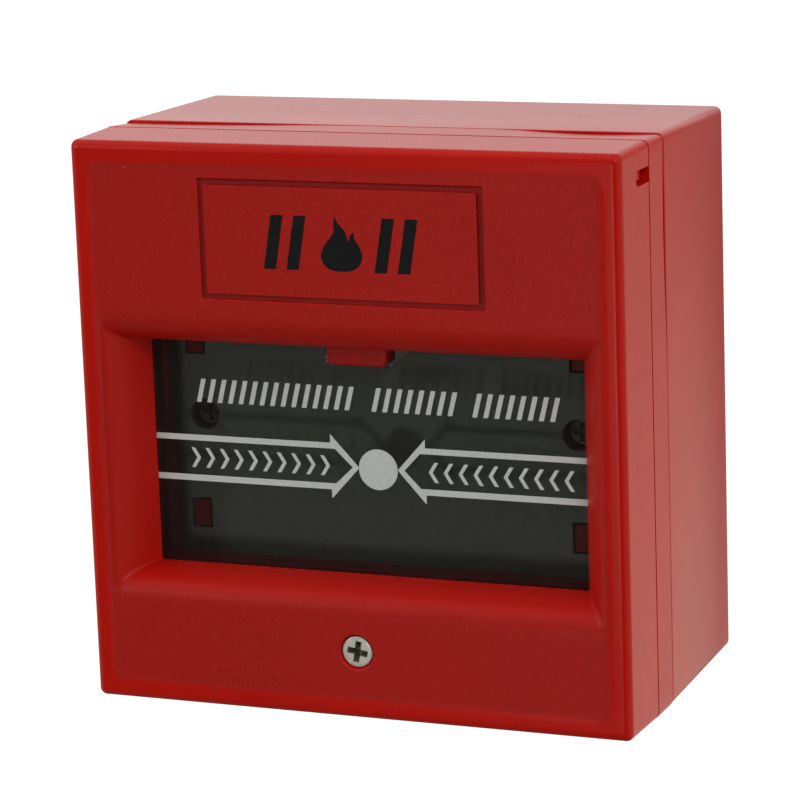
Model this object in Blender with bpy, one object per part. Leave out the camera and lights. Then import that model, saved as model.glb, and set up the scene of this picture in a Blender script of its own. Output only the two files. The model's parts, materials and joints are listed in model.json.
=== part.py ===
"""Surface-mounted manual call point, 86 x 86 mm wall-box format.

Row frame: X right, Z up, the front faces -Y.  The origin is the centre of the rear wall face.
Most sizes below are millimetres; a depth is measured back from the front face of the cover.
"""
import math

import bmesh
import bpy
from mathutils import Matrix, Vector

MM = 0.001
DEPTH = 50.3                 # front face to wall

# shells
COVER_FRONT_HALF = 42.85
COVER_REAR_HALF = 43.0
COVER_REAR = 12.3
BASE_HALF = 43.05
BASE_FRONT = 12.5
BASE_REAR = 19.15
BOX_FRONT = 19.45
BOX_FRONT_HALF = 43.0
BOX_REAR_HALF = 42.56
WALL = 2.1
CAVITY_R = 1.0               # inside corner radius of the cover and the base plate
CORNER_R = 1.7
EDGE_R = 1.3
BOX_CORNER_R = 1.5
BOX_EDGE_R = 0.8
BOX_REAR_WALL = 2.4
SKIRT_HALF = 40.3            # the base plate's rim inside the back box
SKIRT_REAR = 21.2
FACE_RECESS = 0.35
FACE_HALF = 39.9
FACE_CORNER_R = 3.0

# window
LIP_X = 34.4
LIP_TOP = 12.1
LIP_BOTTOM = -22.6
LIP_DEPTH = 7.4
SCOOP_SIDE = 5.2
SCOOP_TOP = 4.1
SCOOP_BOTTOM = 3.6
SCOOP_ROUND = 0.985          # how near the surround's ellipse comes to lying flat in the face
SCOOP_FULL = 0.83
SCOOP_WALL = 1.6
LIP_REAR = 7.5
LIP_R = 0.35
LUG_X = (-5.8, 3.7)
LUG_DEPTH = (7.35, 10.8)
LUG_BOTTOM = 9.15

# label frame
LABEL_OUTER = (-22.2, 22.2, 19.8, 37.7)
LABEL_INNER = (-21.3, 21.3, 20.9, 36.7)
GROOVE_DEPTH = 0.5

# slots in the cover's side walls, for the base plate's locating lugs
SIDE_SLOT = ((40.0, 7.4), (42.2, 6.8), (44.0, 6.8), (44.0, 12.8), (40.0, 12.8))   # x, depth
SIDE_SLOT_Z = (37.1, 39.4)

# pane and its frame
PANE_FRONT = 7.75
PANE_THICK = 1.7
PANE = (-36.2, 36.2, -24.2, 14.0)
NOTCH_SLOPE = 0.764
NOTCH_GAP = 0.13
FRAME_REAR = 14.35           # 1.65 mm in front of the inner plate: 1.5 mm of travel
FRAME_OUTER = (-37.2, 37.2, -25.1, 15.0)
FRAME_INNER = (-34.35, 34.35, -22.8, 12.35)
EAR_DEPTH = (12.6, 14.0)
GUIDE_X, GUIDE_Z = 38.95, -5.2
GUIDE_BOSS_X = 38.2
SPRING_COILS = 4
SPRING_R = 1.25
SPRING_WIRE_R = 0.22

# inner plate
PLATE_FRONT = 16.0
PLATE_REAR = 17.4
PLATE = (-36.9, 36.9, -26.5, 16.5)
FLOOR_FRONT = 17.65

# fixings
BOX_SCREW_X, BOX_SCREW_Z = 30.15, -1.6
COVER_SCREW_X, COVER_SCREW_Z = 0.25, -32.6
SCREW_HEAD_R = 2.38

# snap hooks of the base plate, in the slots of the inner plate
HOOK_X = {-1: -31.4, 1: 30.6}
HOOK_Z = ((-19.6, -14.9), (7.8, 12.5))

# microswitch and its shelf
SWITCH_Z = 13.15
SWITCH_HALF = 5.15
SWITCH_X = (-7.0, 20.8)
SWITCH_DEPTH = (24.0, 39.9)
SWITCH_SCREW_X = (-3.0, 19.2)
SWITCH_SCREW_DEPTH = 34.5
TAB_X = {"com": -2.5, "no": 8.0, "nc": 16.5}
SHELF_TOP = SWITCH_Z - SWITCH_HALF - 0.3
SHELF_THICK = 2.0
GUSSET_X = (-7.7, 8.0)
GUSSET = ((18.6, -3.0), (18.6, 6.2), (36.0, 6.2))   # depth, z
LEVER_PIVOT = (-5.0, 23.0)   # x, depth
LEVER_TILT = math.atan(0.1)
LEG_X = 11.0
LEG_Z = (12.5, 14.6)
LEG_TIP_R = 1.5
LEG_TIP_CENTRE = 19.6
BUTTON_X = 3.0
BUTTON_R = 1.2
BUTTON_CENTRE = 23.697

# terminal block
WAYS_X = (-12.0, -4.0, 4.0, 12.0)
WAYS_Z = -20.0
PEG_X = (-14.0, 14.0)
BLOCK_X = (-16.0, 16.0)
BLOCK_Z = (-26.0, -14.0)
BLOCK_DEPTH = (19.5, 31.0)
WIRE_DEPTH = 24.5
WIRE_R = 0.85
TAB_EYELET_DEPTH = 43.4

# rear wall
CABLE_Z = -14.5
WALL_SLOT_Z = (30.15, -34.5)

RED = (0.55, 0.025, 0.02, 1.0)
BLACK = (0.025, 0.026, 0.025, 1.0)
SCREW_FACE = 0.52            # depth of the cover screw's head


def point(x, depth, z):
    """Row-frame position, in metres, of a point given in millimetres."""
    return Vector((x * MM, (depth - DEPTH) * MM, z * MM))


def clear_scene():
    for obj in list(bpy.data.objects):
        bpy.data.objects.remove(obj, do_unlink=True)


def make_material(name, color, roughness=0.4, metallic=0.0, transmission=0.0):
    mat = bpy.data.materials.new(name)
    mat.use_nodes = True
    shader = mat.node_tree.nodes["Principled BSDF"]
    shader.inputs["Base Color"].default_value = color
    shader.inputs["Roughness"].default_value = roughness
    shader.inputs["Metallic"].default_value = metallic
    shader.inputs["Transmission Weight"].default_value = transmission
    mat.diffuse_color = color
    return mat


def new_object(name, bm):
    bmesh.ops.recalc_face_normals(bm, faces=bm.faces)
    mesh = bpy.data.meshes.new(name)
    bm.to_mesh(mesh)
    bm.free()
    obj = bpy.data.objects.new(name, mesh)
    bpy.context.scene.collection.objects.link(obj)
    return obj


def loft(name, rings, closed=False):
    """Skin equal-length rings of row-frame points; closed joins the last ring to the first."""
    bm = bmesh.new()
    rows = [[bm.verts.new(co) for co in ring] for ring in rings]
    count = len(rows[0])
    pairs = list(zip(rows, rows[1:]))
    if closed:
        pairs.append((rows[-1], rows[0]))
    for low, high in pairs:
        for i in range(count):
            j = (i + 1) % count
            bm.faces.new((low[i], low[j], high[j], high[i]))
    if not closed:
        bm.faces.new(rows[0][::-1])
        bm.faces.new(rows[-1])
    return new_object(name, bm)


def rounded_rect(x0, x1, z0, z1, radius, steps=5):
    """Outline of a rounded rectangle as (x, z) pairs, the same count for any radius."""
    radius = max(radius, 0.02)
    corners = ((x1 - radius, z1 - radius, 0), (x0 + radius, z1 - radius, 90),
               (x0 + radius, z0 + radius, 180), (x1 - radius, z0 + radius, 270))
    outline = []
    for cx, cz, start in corners:
        for k in range(steps + 1):
            ang = math.radians(start + 90.0 * k / steps)
            outline.append((cx + radius * math.cos(ang), cz + radius * math.sin(ang)))
    return outline


def square(half, radius):
    return rounded_rect(-half, half, -half, half, radius)


def ring_at(depth, outline):
    return [point(x, depth, z) for x, z in outline]


def prism(name, outline, d0, d1):
    return loft(name, [ring_at(d0, outline), ring_at(d1, outline)])


def box(name, x0, x1, d0, d1, z0, z1):
    return prism(name, [(x0, z0), (x1, z0), (x1, z1), (x0, z1)], d0, d1)


def circle(cx, cz, radius, count=32):
    return [(cx + radius * math.cos(math.tau * i / count),
             cz + radius * math.sin(math.tau * i / count)) for i in range(count)]


def turned(name, cx, cz, profile, count=32):
    """Solid turned about a depth-wise axis through (cx, cz); profile is (radius, depth) pairs."""
    return loft(name, [ring_at(d, circle(cx, cz, max(r, 0.001), count)) for r, d in profile])


def turned_hollow(name, cx, cz, profile, count=32):
    """Ring-shaped solid: the closed (radius, depth) profile never reaches the axis."""
    rings = [ring_at(d, circle(cx, cz, r, count)) for r, d in profile]
    return loft(name, rings, closed=True)


def rod(name, start, end, radius, count=20):
    """Cylinder between two (x, depth, z) points."""
    a, b = point(*start), point(*end)
    axis = (b - a).normalized()
    side = axis.orthogonal().normalized()
    up = axis.cross(side)
    rings = []
    for centre in (a, b):
        rings.append([centre + (side * math.cos(math.tau * i / count)
                                + up * math.sin(math.tau * i / count)) * radius * MM
                      for i in range(count)])
    return loft(name, rings)


def sweep(name, path, radius, count=8):
    """Tube along row-frame points, with a frame carried along the path."""
    side = None
    rings = []
    for i, co in enumerate(path):
        ahead = path[min(i + 1, len(path) - 1)]
        behind = path[max(i - 1, 0)]
        tangent = (ahead - behind).normalized()
        if side is None:
            side = tangent.orthogonal().normalized()
        side = (side - tangent * side.dot(tangent)).normalized()
        up = tangent.cross(side)
        rings.append([co + (side * math.cos(math.tau * k / count)
                            + up * math.sin(math.tau * k / count)) * radius * MM
                      for k in range(count)])
    return loft(name, rings)


def smooth_path(points, per_span=8):
    """Catmull-Rom curve through (x, depth, z) points, as row-frame vectors."""
    pts = [Vector(p) for p in points]
    pts = [pts[0] * 2 - pts[1]] + pts + [pts[-1] * 2 - pts[-2]]
    path = []
    for i in range(1, len(pts) - 2):
        p0, p1, p2, p3 = pts[i - 1:i + 3]
        for k in range(per_span):
            t = k / per_span
            path.append(0.5 * ((2 * p1) + (p2 - p0) * t + (2 * p0 - 5 * p1 + 4 * p2 - p3) * t * t
                               + (3 * p1 - p0 - 3 * p2 + p3) * t ** 3))
    path.append(pts[-2])
    return [point(*p) for p in path]


def combine(target, tools, operation):
    """Apply EXACT Booleans to target one tool after another and remove the tools."""
    for tool in tools:
        mod = target.modifiers.new(operation.lower(), "BOOLEAN")
        mod.operation = operation
        mod.solver = "EXACT"
        mod.object = tool
        graph = bpy.context.evaluated_depsgraph_get()
        graph.update()
        mesh = bpy.data.meshes.new_from_object(target.evaluated_get(graph))
        target.modifiers.clear()
        target.data = mesh
        bpy.data.objects.remove(tool, do_unlink=True)
    return target


def cut(target, *tools):
    return combine(target, tools, "DIFFERENCE")


def join(target, *tools):
    return combine(target, tools, "UNION")


def finish(obj, mat, angle=35.0):
    """Clean the mesh, name its data, give it one material and shade its curved faces smooth."""
    bm = bmesh.new()
    bm.from_mesh(obj.data)
    bmesh.ops.remove_doubles(bm, verts=bm.verts, dist=2e-6)
    bmesh.ops.dissolve_degenerate(bm, edges=bm.edges, dist=1e-6)
    bmesh.ops.triangulate(bm, faces=[f for f in bm.faces if len(f.verts) > 4])
    bm.to_mesh(obj.data)
    bm.free()
    obj.data.name = obj.name
    obj.data.materials.clear()
    obj.data.materials.append(mat)
    obj.data.shade_smooth()
    obj.data.set_sharp_from_angle(angle=math.radians(angle))
    return obj


def set_origin(obj, origin):
    """Put the object's origin on its joint axis without moving its shape."""
    obj.data.transform(Matrix.Translation(-origin))
    obj.location = origin


def scoop_rings(offset, d_start, d_end, steps=8):
    """Rings of the window surround: each side follows a quarter ellipse from lip to face."""
    rings = []
    for k in range(steps + 1):
        u = math.sin(math.pi / 2 * k / steps)
        depth = d_end - (d_end - d_start) * u
        ease = (1.0 - math.sqrt(max(0.0, 1.0 - (u * SCOOP_ROUND) ** 2))) / SCOOP_FULL
        side = SCOOP_SIDE * (0.45 * ease + 0.55 * u)
        rings.append(ring_at(depth, rounded_rect(
            -LIP_X - side - offset, LIP_X + side + offset,
            LIP_BOTTOM - SCOOP_BOTTOM * ease - offset,
            LIP_TOP + SCOOP_TOP * ease + offset, LIP_R + 0.5 * offset, 3)))
    return rings


def build_cover():
    rings = []
    for k in range(6):
        ang = math.pi / 2 * k / 5
        inset = EDGE_R * (1 - math.sin(ang))
        outline = square(COVER_FRONT_HALF - inset, CORNER_R - 0.6 * inset)
        rings.append(ring_at(EDGE_R * (1 - math.cos(ang)), outline))
    rings.append(ring_at(COVER_REAR, square(COVER_REAR_HALF, CORNER_R)))
    cover = loft("front_cover", rings)
    cut(cover, prism("cavity", square(COVER_REAR_HALF - WALL, CAVITY_R), 2.6, 13.0))

    join(cover, loft("surround", scoop_rings(SCOOP_WALL, 2.2, LIP_REAR)))
    opening = ring_at(10.0, rounded_rect(-LIP_X, LIP_X, LIP_BOTTOM, LIP_TOP, LIP_R, 3))
    rings = scoop_rings(0.0, FACE_RECESS, LIP_DEPTH)
    past_face = Vector((0.0, -(FACE_RECESS + 0.6) * MM, 0.0))
    cut(cover, loft("scoop", [opening] + rings + [[co + past_face for co in rings[-1]]]))
    join(cover, box("lug_root", *LUG_X, 5.5, LUG_DEPTH[1], LIP_TOP + 0.4, LIP_TOP + 1.9))
    join(cover, box("lug", *LUG_X, *LUG_DEPTH, LUG_BOTTOM, LIP_TOP + 0.6))

    cut(cover, prism("face", square(FACE_HALF, FACE_CORNER_R), -1.0, FACE_RECESS))
    x0, x1, z0, z1 = LABEL_OUTER
    groove = box("groove", x0, x1, -0.5, FACE_RECESS + GROOVE_DEPTH, z0, z1)
    x0, x1, z0, z1 = LABEL_INNER
    cut(groove, box("island", x0, x1, -1.0, 2.0, z0, z1))
    cut(cover, groove)

    cut(cover, turned("countersink", COVER_SCREW_X, COVER_SCREW_Z,
                      [(SCREW_HEAD_R + 0.38, -0.4), (SCREW_HEAD_R + 0.38, 0.36), (SCREW_HEAD_R + 0.2, 0.6),
                       (SCREW_HEAD_R + 0.17, 0.78), (1.65, 1.85), (1.65, 3.4)]))
    for sign in (-1, 1):
        cut(cover, loft("side_slot", [[point(sign * x, d, z) for x, d in SIDE_SLOT] for z in SIDE_SLOT_Z]))
    return cover


def build_pane():
    """Flat pane whose top edge is notched round the lug, with a slope on the notch's right side."""
    left, right, bottom, top = PANE
    floor = LUG_BOTTOM - NOTCH_GAP
    notch_left, notch_right = LUG_X[0] - NOTCH_GAP, LUG_X[1] + NOTCH_GAP
    slope_end = notch_right + (top - floor) / NOTCH_SLOPE
    outline = [(left, bottom), (right, bottom), (right, top), (slope_end, top), (notch_right, floor),
               (notch_left, floor), (notch_left, top), (left, top)]
    return prism("glass_pane", outline, PANE_FRONT, PANE_FRONT + PANE_THICK)


def build_pane_frame():
    """Ring behind the pane, with ears on the guide screws and a leg that works the microswitch."""
    x0, x1, z0, z1 = FRAME_OUTER
    frame = prism("pane_frame", rounded_rect(x0, x1, z0, z1, 1.0, 3), PANE_FRONT + 0.1, FRAME_REAR)
    x0, x1, z0, z1 = FRAME_INNER
    cut(frame, box("window", x0, x1, 6.0, 16.0, z0, z1))
    cut(frame, box("pocket", PANE[0] - 0.1, PANE[1] + 0.1, 6.0, PANE_FRONT + PANE_THICK + 0.05,
                   PANE[2] - 0.1, PANE[3] + 0.1))
    cut(frame, box("lug_notch", LUG_X[0] - 0.4, LUG_X[1] + 0.4, 6.0, LUG_DEPTH[1] + 0.4, 12.0, 16.0))
    for sign in (-1, 1):
        ear = sorted((sign * 36.5, sign * 40.6))
        join(frame, box("ear", *ear, *EAR_DEPTH, GUIDE_Z - 2.4, GUIDE_Z + 2.4))
        cut(frame, turned("guide", sign * GUIDE_X, GUIDE_Z, [(1.0, 12.0), (1.0, 15.0)], 20))
    leg = [(LEG_X - LEG_TIP_R, EAR_DEPTH[1])]
    for k in range(9):
        ang = math.pi * k / 8
        leg.append((LEG_X - LEG_TIP_R * math.cos(ang), LEG_TIP_CENTRE + LEG_TIP_R * math.sin(ang)))
    leg.append((LEG_X + LEG_TIP_R, EAR_DEPTH[1]))
    return join(frame, loft("leg", [[point(x, d, z) for x, d in leg] for z in LEG_Z]))


def build_guide_screw(side, sign):
    x = sign * GUIDE_X
    screw = turned("guide_screw_" + side, x, GUIDE_Z,
                   [(1.4, 11.1), (1.6, 11.3), (1.6, 12.45), (0.92, 12.45), (0.92, 20.6), (0.6, 20.9)], 20)
    return cut(screw, box("drive", x - 1.3, x + 1.3, 10.5, 11.65, GUIDE_Z - 0.2, GUIDE_Z + 0.2))


def build_spring(side, sign):
    per_turn, end_gap = 12, 0.3
    start = EAR_DEPTH[1] + end_gap
    length = FLOOR_FRONT - end_gap - start
    path = []
    total = SPRING_COILS * per_turn
    for i in range(total + 1):
        ang = math.tau * i / per_turn
        x = sign * GUIDE_X + SPRING_R * math.cos(ang)
        path.append(point(x, start + length * i / total, GUIDE_Z + SPRING_R * math.sin(ang)))
    return sweep("frame_spring_" + side, path, SPRING_WIRE_R, 5)


def build_inner_plate():
    plate = prism("inner_plate", rounded_rect(*PLATE, 1.0, 3), PLATE_FRONT, PLATE_REAR)
    for sign in (-1, 1):
        cut(plate, turned("access", sign * BOX_SCREW_X, BOX_SCREW_Z, [(2.35, 15.0), (2.35, 18.0)], 28))
        for z0, z1 in HOOK_Z:
            wide = sorted((HOOK_X[sign] - sign * 1.6, HOOK_X[sign] + sign * 1.6))
            deep = sorted((HOOK_X[sign] - sign * 1.6, HOOK_X[sign] + sign * 0.8))
            cut(plate, box("slot", *wide, 15.0, 16.75, z0, z1))
            cut(plate, box("slot_through", *deep, 16.0, 18.0, z0, z1))
    return cut(plate, box("leg_hole", LEG_X - 2.2, LEG_X + 2.2, 15.0, 18.0, LEG_Z[0] - 0.6, LEG_Z[1] + 0.6))


def build_base():
    base = prism("base_plate", square(BASE_HALF, CORNER_R), BASE_FRONT, BASE_REAR)
    cut(base, prism("well", square(BASE_HALF - WALL, CAVITY_R), 11.0, FLOOR_FRONT))
    skirt = prism("skirt", square(SKIRT_HALF, CAVITY_R), BASE_REAR - 0.3, SKIRT_REAR)
    cut(skirt, prism("skirt_inner", square(SKIRT_HALF - 1.4, 0.8), 18.0, 22.0))
    join(base, skirt)

    join(base, turned("cover_boss", COVER_SCREW_X, COVER_SCREW_Z, [(3.6, 4.9), (3.8, 18.0)]))
    cut(base, turned("boss_bore", COVER_SCREW_X, COVER_SCREW_Z,
                     [(2.14, 4.0), (2.14, 11.0), (1.6, 11.0), (1.6, 15.5)], 24))
    join(base, box("boss_rib", -0.8, 0.8, 13.0, 18.0, -41.5, -35.0))

    for sign in (-1, 1):
        x = sign * BOX_SCREW_X
        join(base, turned("cup", x, BOX_SCREW_Z, [(4.0, 18.4), (4.0, 21.3)]))
        cut(base, turned("cup_bore", x, BOX_SCREW_Z,
                         [(2.45, 17.0), (2.45, 19.95), (1.4, 19.95), (1.4, 22.0)], 28))
        for z0, z1 in HOOK_Z:
            stem = sorted((HOOK_X[sign] - sign * 1.25, HOOK_X[sign] + sign * 0.4))
            nib = sorted((HOOK_X[sign] + sign * 0.3, HOOK_X[sign] + sign * 1.35))
            join(base, box("stem", *stem, 16.15, 18.0, z0 + 0.3, z1 - 0.3))
            join(base, box("nib", *nib, 16.15, 16.6, z0 + 0.3, z1 - 0.3))
        tongue = sorted((sign * 38.9, sign * 40.55))
        join(base, box("tongue", *tongue, 7.6, 18.0, 36.2, 40.3))
        lug = sorted((sign * 40.2, sign * 42.55))
        join(base, box("locating_lug", *lug, 7.8, 10.6, 37.4, 39.1))
        join(base, turned("guide_boss", sign * GUIDE_BOSS_X, GUIDE_Z, [(2.1, 18.6), (2.1, 21.6)], 20))
        cut(base, turned("guide_bore", sign * GUIDE_X, GUIDE_Z, [(0.97, 17.0), (0.97, 21.2)], 20))

    cut(base, box("leg_hole", LEG_X - 2.4, LEG_X + 2.4, 17.0, 20.0, LEG_Z[0] - 0.8, LEG_Z[1] + 0.8))
    join(base, box("shelf", -8.5, 22.5, 18.6, 39.0, SHELF_TOP - SHELF_THICK, SHELF_TOP))
    for x in GUSSET_X:
        join(base, loft("gusset", [[point(side, d, z) for d, z in GUSSET] for side in (x - 0.8, x + 0.8)]))
    for x in SWITCH_SCREW_X:
        cut(base, rod("switch_hole", (x, SWITCH_SCREW_DEPTH, 3.0), (x, SWITCH_SCREW_DEPTH, 9.0), 1.6))
    for x in PEG_X:
        join(base, turned("peg", x, WAYS_Z, [(1.3, 18.5), (1.3, 21.2), (1.0, 21.5)], 20))
    return base


def build_box():
    profile = ((BOX_FRONT, BOX_FRONT_HALF, BOX_CORNER_R), (DEPTH - BOX_EDGE_R, BOX_REAR_HALF, BOX_CORNER_R),
               (DEPTH - 0.3, BOX_REAR_HALF - 0.15, BOX_CORNER_R),
               (DEPTH, BOX_REAR_HALF - 0.7 * BOX_EDGE_R, BOX_CORNER_R - 0.3))
    shell = loft("back_box", [ring_at(depth, square(half, radius)) for depth, half, radius in profile])
    cut(shell, loft("hollow", [ring_at(18.0, square(BOX_FRONT_HALF - WALL, 1.0)),
                               ring_at(DEPTH - BOX_REAR_WALL, square(BOX_REAR_HALF - WALL, 1.0))]))
    for sign in (-1, 1):
        x = sign * BOX_SCREW_X
        rib = sorted((sign * 33.0, sign * 41.5))
        join(shell, turned("post", x, BOX_SCREW_Z, [(3.9, 21.6), (4.1, 48.3)]))
        join(shell, box("post_rib", *rib, 24.0, 48.3, BOX_SCREW_Z - 0.8, BOX_SCREW_Z + 0.8))
        cut(shell, turned("post_bore", x, BOX_SCREW_Z,
                          [(2.14, 21.0), (2.14, 28.0), (1.4, 28.0), (1.4, 37.0)], 24))
    cut(shell, turned("cable_hole", 0, CABLE_Z, [(8.05, 47.0), (8.05, 49.1), (10.1, 49.1), (10.1, 51.0)]))
    for z in WALL_SLOT_Z:
        slot = rounded_rect(-4.0, 4.0, z - 2.3, z + 2.3, 2.28, 8)
        cut(shell, prism("wall_slot", slot, 47.0, 51.0))
    return shell


def build_grommet():
    profile = [(3.2, 48.1), (5.0, 46.8), (9.4, 46.6), (9.8, 47.0), (9.8, 47.8), (7.9, 47.85),
               (7.9, 49.2), (9.8, 49.25), (9.8, 50.0), (9.5, 50.2), (6.5, 50.2), (5.2, 49.1), (3.2, 48.9)]
    return turned_hollow("cable_grommet", 0, CABLE_Z, profile)


def build_cover_screw():
    x, z, head = COVER_SCREW_X, COVER_SCREW_Z, SCREW_HEAD_R
    profile = [(head - 0.3, SCREW_FACE), (head, 0.6), (head, 0.8), (1.45, 1.85), (1.45, 12.6), (1.0, 13.1)]
    screw = turned("cover_screw", x, z, profile)
    for turn in (-10.0, 80.0):
        ang = math.radians(turn)
        ux, uz = math.cos(ang), math.sin(ang)
        rings = []
        for depth, length, width in ((0.2, 1.6, 0.4), (0.52, 1.55, 0.38), (1.9, 0.65, 0.22)):
            outline = [(x + a * length * ux - b * width * uz, z + a * length * uz + b * width * ux)
                       for a, b in ((-1, -1), (1, -1), (1, 1), (-1, 1))]
            rings.append(ring_at(depth, outline))
        cut(screw, loft("cross", rings))
    return screw


def build_tube(name, x, z, r_in, r_out, d0, d1, count=24):
    return turned_hollow(name, x, z, [(r_in, d0), (r_out, d0), (r_out, d1), (r_in, d1)], count)


def build_box_screw(side, sign):
    x, z = sign * BOX_SCREW_X, BOX_SCREW_Z
    profile = [(1.9, 18.15), (2.2, 18.4), (2.2, 19.85), (1.22, 19.85), (1.22, 32.0), (0.8, 32.5)]
    screw = turned("box_screw_" + side, x, z, profile, 28)
    for a, b in ((1.4, 0.3), (0.3, 1.4)):
        cut(screw, box("cross", x - a, x + a, 17.5, 19.1, z - b, z + b))
    return screw


def build_switch_body():
    body = box("microswitch_body", *SWITCH_X, *SWITCH_DEPTH, SWITCH_Z - SWITCH_HALF, SWITCH_Z + SWITCH_HALF)
    px, pd = LEVER_PIVOT
    for low, high in ((-3.4, -2.45), (2.45, 3.4)):
        join(body, box("ear", px - 1.2, px + 1.2, pd - 1.0, 24.6, SWITCH_Z + low, SWITCH_Z + high))
    cut(body, rod("pin_hole", (px, pd, SWITCH_Z - 4), (px, pd, SWITCH_Z + 4), 0.38, 16))
    cut(body, turned("button_bore", BUTTON_X, SWITCH_Z, [(1.28, 23.0), (1.28, 29.6)], 24))
    for x in SWITCH_SCREW_X:
        cut(body, rod("screw_hole", (x, SWITCH_SCREW_DEPTH, 5.0), (x, SWITCH_SCREW_DEPTH, 21.0), 1.6))
    for x in TAB_X.values():
        cut(body, box("tab_slot", x - 2.5, x + 2.5, 38.4, 41.0, SWITCH_Z - 0.5, SWITCH_Z + 0.5))
    cut(body, box("mould_line", -8.0, 22.0, 23.5, 24.35, SWITCH_Z + 4.85, SWITCH_Z + 5.6))
    return body


def build_button():
    profile = [(1.2, 28.6), (1.2, BUTTON_CENTRE)]
    for k in range(1, 6):
        ang = math.pi / 2 * k / 5
        profile.append((BUTTON_R * math.cos(ang), BUTTON_CENTRE - BUTTON_R * math.sin(ang)))
    return turned("microswitch_button", BUTTON_X, SWITCH_Z, profile, 24)


def build_lever():
    px, pd = LEVER_PIVOT
    half, thick = 2.2, 0.25
    lean = LEVER_TILT

    def place(along, across, z):
        x = px + along * math.cos(lean) + across * math.sin(lean)
        return point(x, pd - along * math.sin(lean) + across * math.cos(lean), z)

    strip = [(0.0, -thick), (21.0, -thick), (21.3, 0.0), (21.0, thick), (0.0, thick)]
    lever = loft("microswitch_lever", [[place(a, b, SWITCH_Z - half) for a, b in strip],
                                       [place(a, b, SWITCH_Z + half) for a, b in strip]])
    join(lever, rod("eye", (px, pd, SWITCH_Z - half), (px, pd, SWITCH_Z + half), 0.8, 24))
    return cut(lever, rod("eye_bore", (px, pd, SWITCH_Z - 3), (px, pd, SWITCH_Z + 3), 0.42, 16))


def build_tab(kind, x):
    tab = box("terminal_" + kind, x - 2.35, x + 2.35, 38.6, 45.0, SWITCH_Z - 0.4, SWITCH_Z + 0.4)
    depth = TAB_EYELET_DEPTH
    return cut(tab, rod("eyelet", (x, depth, SWITCH_Z - 2), (x, depth, SWITCH_Z + 2), 0.8, 16))


def build_switch_screw(index, x):
    top = SWITCH_Z + SWITCH_HALF
    depth = SWITCH_SCREW_DEPTH
    screw = rod("switch_screw_%d" % index, (x, depth, top + 0.1), (x, depth, top + 2.0), 2.7, 24)
    join(screw, rod("shank", (x, depth, 2.6), (x, depth, top + 0.5), 1.42, 20))
    return cut(screw, box("drive", x - 3.0, x + 3.0, depth - 0.4, depth + 0.4, top + 1.1, top + 3.0))


def build_switch_nut(index, x):
    shelf_low = SHELF_TOP - SHELF_THICK
    depth = SWITCH_SCREW_DEPTH
    nut = rod("switch_nut_%d" % index, (x, depth, shelf_low - 2.5), (x, depth, shelf_low - 0.1), 3.1, 6)
    return cut(nut, rod("thread", (x, depth, 2.0), (x, depth, 7.0), 1.5, 20))


def build_terminal_block():
    block = box("terminal_block", *BLOCK_X, *BLOCK_DEPTH, *BLOCK_Z)
    for x in (-8.0, 0.0, 8.0):
        cut(block, box("divider", x - 0.6, x + 0.6, 28.0, 32.0, -27.0, -13.0))
    for x in WAYS_X:
        cut(block, turned("well", x, WAYS_Z, [(2.05, 22.4), (2.05, 32.0)], 24))
        cut(block, rod("wire_hole", (x, WIRE_DEPTH, -27.0), (x, WIRE_DEPTH, -13.0), 1.3, 20))
    for x in PEG_X:
        cut(block, turned("peg_hole", x, WAYS_Z, [(1.35, 19.0), (1.35, 22.0)], 20))
    return block


def build_clamp(index, x):
    clamp = build_tube("terminal_clamp_%d" % index, x, WAYS_Z, 1.25, 1.98, 22.5, 28.4)
    return cut(clamp, rod("wire_way", (x, WIRE_DEPTH, -24.0), (x, WIRE_DEPTH, -16.0), 1.1, 20))


def build_terminal_screw(index, x):
    screw = turned("terminal_screw_%d" % index, x, WAYS_Z,
                   [(1.15, 26.0), (1.15, 28.6), (1.9, 28.6), (1.9, 30.1), (1.6, 30.3)], 24)
    return cut(screw, box("drive", x - 2.2, x + 2.2, 29.6, 31.0, WAYS_Z - 0.25, WAYS_Z + 0.25))


def build_wire(name, x0, x1):
    points = [(x0, TAB_EYELET_DEPTH, SWITCH_Z - 1.45), (x0, TAB_EYELET_DEPTH, 7.5), (x0, 43.0, 1.0),
              ((x0 + x1) / 2, 38.0, -5.0), (x1, 28.5, -7.5), (x1, WIRE_DEPTH + 0.2, -11.0),
              (x1, WIRE_DEPTH, BLOCK_Z[1] - 0.5), (x1, WIRE_DEPTH, WAYS_Z + 0.6)]
    return sweep(name, smooth_path(points, 5), WIRE_R, 10)


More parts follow.
